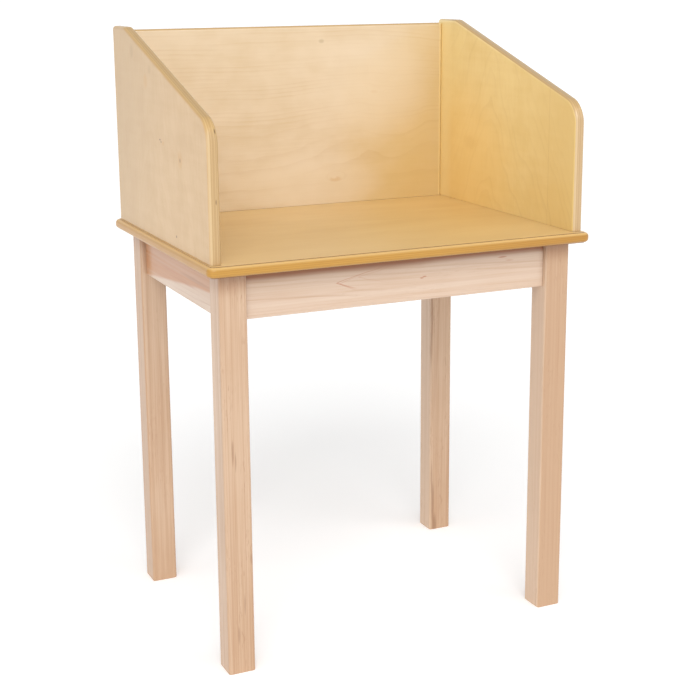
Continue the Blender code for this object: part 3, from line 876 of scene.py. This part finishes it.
REAR_RIGHT_LEG_MARKS = (
    ((0.1150, -0.0180, LEG_FRONT), (0.0600, 0.0026, 0.010), 0.38, MAPLE_BROWN),
    ((0.0500, -0.0190, LEG_FRONT), (0.0500, 0.0020, 0.010), 0.34, MAPLE_BROWN),
    ((-0.2000, -0.0170, LEG_FRONT), (0.0500, 0.0022, 0.012), 0.30, MAPLE_BROWN),
    ((-0.2500, -0.0150, LEG_FRONT), (0.0550, 0.0034, 0.014), 0.42, MAPLE_BROWN),
    ((-0.2900, -0.0110, LEG_FRONT), (0.0300, 0.0050, 0.016), 0.42, MAPLE_BROWN),
)
FRONT_LEFT_LEG_MARKS = on_face(
    LEG_FRONT, MARK_DEPTH,
    ((0.0420, -0.0070), (0.0230, 0.0022), 0.38, MAPLE_BROWN),
    ((0.0280, -0.0030), (0.0170, 0.0018), 0.38, MAPLE_BROWN),
    ((-0.1216, 0.0170), (0.0120, 0.0026), 0.30, MAPLE_BROWN),
    ((-0.1900, 0.0060), (0.0200, 0.0020), 0.28, MAPLE_BROWN),
    ((-0.2366, -0.0045), (0.0180, 0.0022), 0.30, MAPLE_BROWN),
)
FRONT_APRON_MARKS = on_face(
    APRON_FRONT, MARK_DEPTH,
    ((0.0345, -0.0008), (0.0048, 0.0013), 0.70, MAPLE_RED),
    ((0.0400, 0.0012), (0.0048, 0.0013), 0.70, MAPLE_RED),
    ((0.1690, 0.0180), (0.0090, 0.0015), 0.60, MAPLE_RED),
    ((0.1820, 0.0125), (0.0090, 0.0012), 0.40, MAPLE_RED),
)
LEFT_APRON_MARKS = on_face(
    APRON_LEFT, 0.006,
    ((-0.0750, 0.0020), (0.0800, 0.0040), 0.25, MAPLE_BROWN),
    ((0.0300, -0.0040), (0.0700, 0.0022), 0.25, MAPLE_RED),
    ((-0.0300, -0.0110), (0.0900, 0.0018), 0.20, MAPLE_RED),
)

# Growth rings cut to a point: where the point is, how its arms run, and how strong it is
FRONT_APRON_POINTS = (
    (pointed_ring((-0.1039, 0.0052), 3.5, 0.9, 0.100, 0.0011), 0.55),
    (pointed_ring((-0.0990, 0.0030), 2.8, 0.6, 0.045, 0.0008), 0.40),
    (pointed_ring((-0.0700, 0.0100), 4.4, 0.4, 0.075, 0.0009), 0.22),
)

# Corner, rings, marks, strength of stripes and of flecks, painted shade of the front and left faces
# (painted light below 0)
LEGS = (
    ("front_left", pith_rings((0.11, 0.06), (0.004, 0.002), 260, 0.014),
     FRONT_LEFT_LEG_MARKS, 0.34, 0.40, 0.0, 0.0),
    ("front_right", pith_rings((-0.09, 0.12), (0.010, 0.004), 240, 0.016), (),
     0.12, 0.30, 0.30, -0.40),
    ("rear_left", pith_rings((0.05, -0.14), (0.008, 0.010), 250, 0.014), (),
     0.18, 0.35, 0.0, 0.30),
    ("rear_right", pith_rings((-0.030, 0.10), (0.055, 0.020), 260, 0.020),
     REAR_RIGHT_LEG_MARKS, 0.22, 0.45, 0.0, -0.30),
)

# Side, rings, marks, pointed rings, strength of the painted shade beneath the tabletop, and stain
APRONS = (
    ("front", pith_rings((0.035, 0.03), (0.045, 0.0), 170, 0.020), FRONT_APRON_MARKS,
     FRONT_APRON_POINTS, 0.85, None),
    ("rear", pith_rings((0.02, 0.05), (0.03, 0.02), 200, 0.020), (), (), 0.4, None),
    ("left", pith_rings((0.01, -0.04), (0.04, 0.03), 200, 0.024), LEFT_APRON_MARKS, (), 0.4,
     heart_wedge),
    ("right", pith_rings((-0.02, 0.05), (0.03, -0.03), 200, 0.020), (), (), 0.4, None),
)

HARDWARE = ("hanger_bolt_", "washer_", "nut_", "block_screw_", "top_screw_", "panel_screw_")


# The carrel

names = sorted(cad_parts)


def drills_for(prefix, make):
    return [make(name) for name in names if name.startswith(prefix)]


def add_tabletop():
    drills = drills_for("panel_screw_", panel_screw_drill)
    drills += drills_for("top_screw_", top_screw_drill)
    top = add_board("tabletop", tabletop_shape, drills)
    paint(top, birch_top("tabletop"))


def add_side_panel(side, front, rear, contrast, marks, **settings):
    node = side + "_side_panel"
    drills = drills_for(f"panel_screw_{side}_", panel_screw_drill)
    drills += drills_for(f"dowel_{side}_", dowel_drill)
    panel = add_board(node, side_panel_shape, drills)
    birch = birch_screen(node, Z_AXIS, Y_AXIS, front, rear, arch_figure, contrast, marks,
                         **settings)
    paint(panel, birch)


def add_back_panel():
    drills = drills_for("panel_screw_back_", panel_screw_drill)
    drills += drills_for("dowel_", dowel_drill)
    panel = add_board("back_panel", back_panel_shape, drills)
    birch = birch_screen("back_panel", X_AXIS, Z_AXIS, BACK_BIRCH, OUTER_BIRCH, back_figure, 0.16,
                         BACK_PANEL_MARKS, stain=painted_bounce_golden_end, stain_tone=BACK_PAINTED_BOUNCE_GOLD)
    paint(panel, birch)


def add_leg(corner, figure, marks, stripes, flecks, painted_front_shade, painted_left_shade):
    node = corner + "_leg"
    leg = add_board(node, leg_shape, drills_for("hanger_bolt_" + corner, bolt_drill))
    # Painted shade darkens each leg towards its feet
    wood = maple(node, Z_AXIS, X_AXIS, LEG_MAPLE, figure, marks, stripes=stripes, flecks=flecks,
                 shade=0.35, painted_shade_depth=0.035, painted_shade_share=0.30, painted_front_shade=painted_front_shade,
                 painted_left_shade=painted_left_shade)
    paint(leg, wood)


def add_apron(side, figure, marks, points, painted_shade, stain):
    node = side + "_apron"
    drills = [block_screw_drill(name) for name in names
              if name.startswith("block_screw_") and name.endswith("_" + side)]
    apron = add_board(node, apron_shape, drills)
    along = X_AXIS if side in ("front", "rear") else Y_AXIS
    wood = maple(node, along, Z_AXIS, APRON_MAPLE, figure, marks, stripes=0.08, flecks=0.12,
                 points=points, painted_shade_depth=0.018, painted_shade_share=painted_shade, stain=stain,
                 stain_tone=HEARTWOOD)
    paint(apron, wood)


def finish_corner_block(name):
    """A block's grain runs along its own length, across the corner."""
    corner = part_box(name)[0]
    along = X_AXIS - Y_AXIS * math.copysign(1, corner.x * corner.y)
    rings = pith_rings((0.05, 0.08), (0.0, 0.02), 290, 0.03)
    wood = maple(name, along.normalized(), Z_AXIS, BLOCK_MAPLE, rings, coat=0.0)
    paint_node(name, wood)


add_tabletop()
add_side_panel("left", OUTER_BIRCH, INNER_BIRCH_PAINTED_BOUNCE, 0.12, LEFT_PANEL_MARKS, stain=dull_corner,
               stain_tone=DULL_BIRCH, coat=0.5, specular=0.12, curl=0.35)
add_side_panel("right", INNER_BIRCH_PAINTED_BOUNCE, OUTER_BIRCH, 0.14, RIGHT_PANEL_MARKS, seam=-0.1437,
               stain=dull_front, stain_tone=DULL_GOLD, curl=0.4)
add_back_panel()
for leg_row in LEGS:
    add_leg(*leg_row)
for apron_row in APRONS:
    add_apron(*apron_row)

steel = zinc_steel()
dowel_wood = beech_dowel()
for name in names:
    if name.startswith("corner_block_"):
        finish_corner_block(name)
    elif name.startswith(HARDWARE):
        paint_node(name, steel)
    elif name.startswith("dowel_"):
        paint_node(name, dowel_wood)


# Floor, light and camera


def add_floor():
    """A pale floor that reaches to the horizon and glows a little, so that it stays white."""
    bm = bmesh.new()
    bmesh.ops.create_grid(bm, x_segments=8, y_segments=8, size=FLOOR_HALF_WIDTH)
    mesh = bpy.data.meshes.new("floor")
    bm.to_mesh(mesh)
    bm.free()
    floor = bpy.data.objects.new("floor", mesh)
    bpy.context.scene.collection.objects.link(floor)
    graph = Graph("pale_floor")
    x, y, z = graph.axes()
    cloud = graph.noise(x * 3, y * 3, z, detail=2)
    colour = graph.blend(cloud, FLOOR_WHITE, FLOOR_GREY)
    graph.surface(colour, 0.8 + cloud * 0.1, cloud, 0.0001)
    graph.shader.inputs["Specular IOR Level"].default_value = 0.1
    graph.shader.inputs["Emission Color"].default_value = (1, 1, 1, 1)
    graph.shader.inputs["Emission Strength"].default_value = FLOOR_GLOW
    mesh.materials.append(graph.material)


def add_soft_light(name, direction, spread, strength):
    """A far, broad lamp: it lights everything alike, from a direction, with soft shadows."""
    light = bpy.data.lights.new(name, "SUN")
    light.angle = math.radians(spread)
    light.energy = strength
    lamp = bpy.data.objects.new(name, light)
    lamp.rotation_mode = "QUATERNION"
    lamp.rotation_quaternion = (-Vector(direction)).to_track_quat("-Z", "Y")
    bpy.context.scene.collection.objects.link(lamp)


def add_light():
    """Bright walls, a dimmer ceiling and the lamps."""
    world = bpy.data.worlds.new("studio")
    world.use_nodes = True
    nodes = world.node_tree.nodes
    links = world.node_tree.links
    background = nodes["Background"]
    background.inputs["Color"].default_value = (1, 1, 1, 1)
    place = nodes.new("ShaderNodeTexCoord")
    height = nodes.new("ShaderNodeSeparateXYZ")
    fade = nodes.new("ShaderNodeMapRange")
    fade.interpolation_type = "SMOOTHSTEP"
    fade.inputs["From Max"].default_value = CEILING_HEIGHT
    fade.inputs["To Min"].default_value = WALL_BRIGHTNESS
    fade.inputs["To Max"].default_value = CEILING_BRIGHTNESS
    links.new(place.outputs["Generated"], height.inputs[0])
    links.new(height.outputs["Z"], fade.inputs["Value"])
    links.new(fade.outputs["Result"], background.inputs["Strength"])
    bpy.context.scene.world = world
    for lamp in LAMPS:
        add_soft_light(*lamp)
    bpy.context.scene.view_settings.view_transform = "Standard"


def add_camera():
    """A long lens at the front left, a little above the screen, looking slightly down."""
    forward = Vector((math.sin(CAMERA_YAW) * math.cos(CAMERA_PITCH),
                      math.cos(CAMERA_YAW) * math.cos(CAMERA_PITCH),
                      math.sin(CAMERA_PITCH)))
    data = bpy.data.cameras.new("camera")
    data.lens = CAMERA_LENS
    data.sensor_width = CAMERA_SENSOR
    data.shift_y = CAMERA_SHIFT_Y
    camera = bpy.data.objects.new("camera", data)
    camera.location = CAMERA_PLACE
    camera.rotation_mode = "QUATERNION"
    level = forward.to_track_quat("-Z", "Y")
    camera.rotation_quaternion = level @ Quaternion((0, 0, 1), CAMERA_ROLL)
    bpy.context.scene.collection.objects.link(camera)
    bpy.context.scene.camera = camera


add_floor()
add_light()
add_camera()
